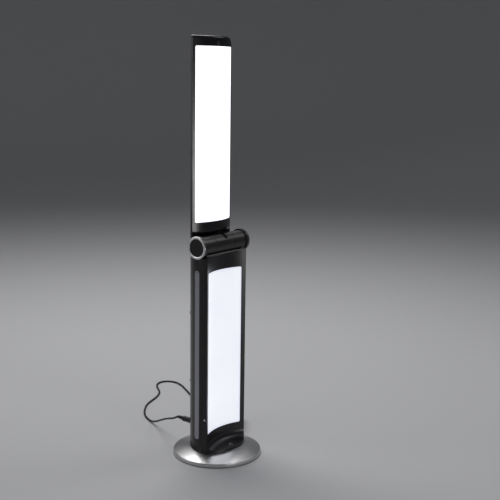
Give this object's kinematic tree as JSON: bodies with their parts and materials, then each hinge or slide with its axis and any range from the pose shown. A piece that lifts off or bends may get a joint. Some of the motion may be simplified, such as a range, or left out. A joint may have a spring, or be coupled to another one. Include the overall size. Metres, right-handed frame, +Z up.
{
  "type": "light therapy lamp",
  "caption": "Folding light therapy lamp: round weighted base, dished lit column and a lit arm on a barrel hinge, with a low-voltage cord and wall adapter.",
  "frame": {"origin": "centre of the underside of the round base, on the surface that the lamp stands on", "axes": "+Z up, -Y towards the user that the lit faces point at, +X to the right of that user's view"},
  "size_m": [0.2977, 0.4115, 0.7107],
  "materials": {
    "satin_silver": "satin silver paint",
    "steel": "raw cast surface",
    "black_metal": "matt black paint",
    "rubber": "matt",
    "screw_steel": "plain zinc-plated steel",
    "cast_aluminium": "as cast",
    "gloss_black": "high gloss black",
    "column_diffuser": "white translucent, emissive",
    "arm_diffuser": "white translucent, emissive",
    "white_plastic": "white, matt",
    "board": "green solder resist",
    "strip_grey": "silver grey, satin",
    "dark_plastic": "fine texture",
    "button_grey": "dark grey, polished",
    "button_silver": "silver, satin",
    "brass": "plain",
    "barrel_grey": "cast, with dark grey satin paint",
    "bright_ring": "bright satin plating",
    "dark_disc": "dark grey, fine grain",
    "cord_black": "smooth black sheath"
  },
  "bodies": {
    "column": {"base_cover": "satin_silver", "base_weight": "steel", "bottom_plate": "black_metal", "rubber_ring": "rubber", "base_screws": "screw_steel", "foot_block": "cast_aluminium", "column_rear_shell": "gloss_black", "column_front_shell": "gloss_black", "column_light_panel": "column_diffuser", "column_reflector": "white_plastic", "column_led_board": "board", "column_screws": "screw_steel", "side_strip_left": "strip_grey", "side_strip_right": "strip_grey", "dc_socket": "dark_plastic", "control_board": "board", "power_switch": "dark_plastic", "side_contact": "brass", "hinge_yoke": "barrel_grey", "hinge_bolt": "screw_steel", "hinge_nut": "screw_steel", "hinge_ring_left": "bright_ring", "hinge_ring_right": "bright_ring", "hinge_disc_left": "dark_disc", "hinge_disc_right": "dark_disc", "dc_plug": "dark_plastic", "bend_relief": "rubber", "power_cord": "cord_black", "cord_coil": "cord_black", "cord_tie": "dark_plastic", "adapter_cord": "cord_black", "adapter_relief": "rubber", "power_adapter": "dark_plastic", "adapter_pins": "screw_steel"},
    "arm": {"arm_knuckle": "barrel_grey", "knuckle_screws": "screw_steel", "arm_rear_shell": "gloss_black", "arm_front_shell": "gloss_black", "arm_light_panel": "arm_diffuser", "arm_reflector": "white_plastic", "arm_led_board": "board", "arm_rest": "rubber", "friction_washers": "brass"},
    "power_key": {"power_button": "button_grey"},
    "side_key": {"side_button": "button_silver"}
  },
  "joints": [
    {"name": "arm_fold", "type": "hinge", "parent": "column", "child": "arm", "pos_m": [0, -0.0021, 0.36925], "axis": [1, 0, 0], "range_deg": [0, 180]},
    {"name": "power_press", "type": "slide", "parent": "column", "child": "power_key", "axis": [0, 0, -1], "range_m": [0, 0.0008], "stiffness_N_per_m": 1500},
    {"name": "side_press", "type": "slide", "parent": "column", "child": "side_key", "axis": [1, 0, 0], "range_m": [0, 0.0005], "stiffness_N_per_m": 1500}
  ]
}
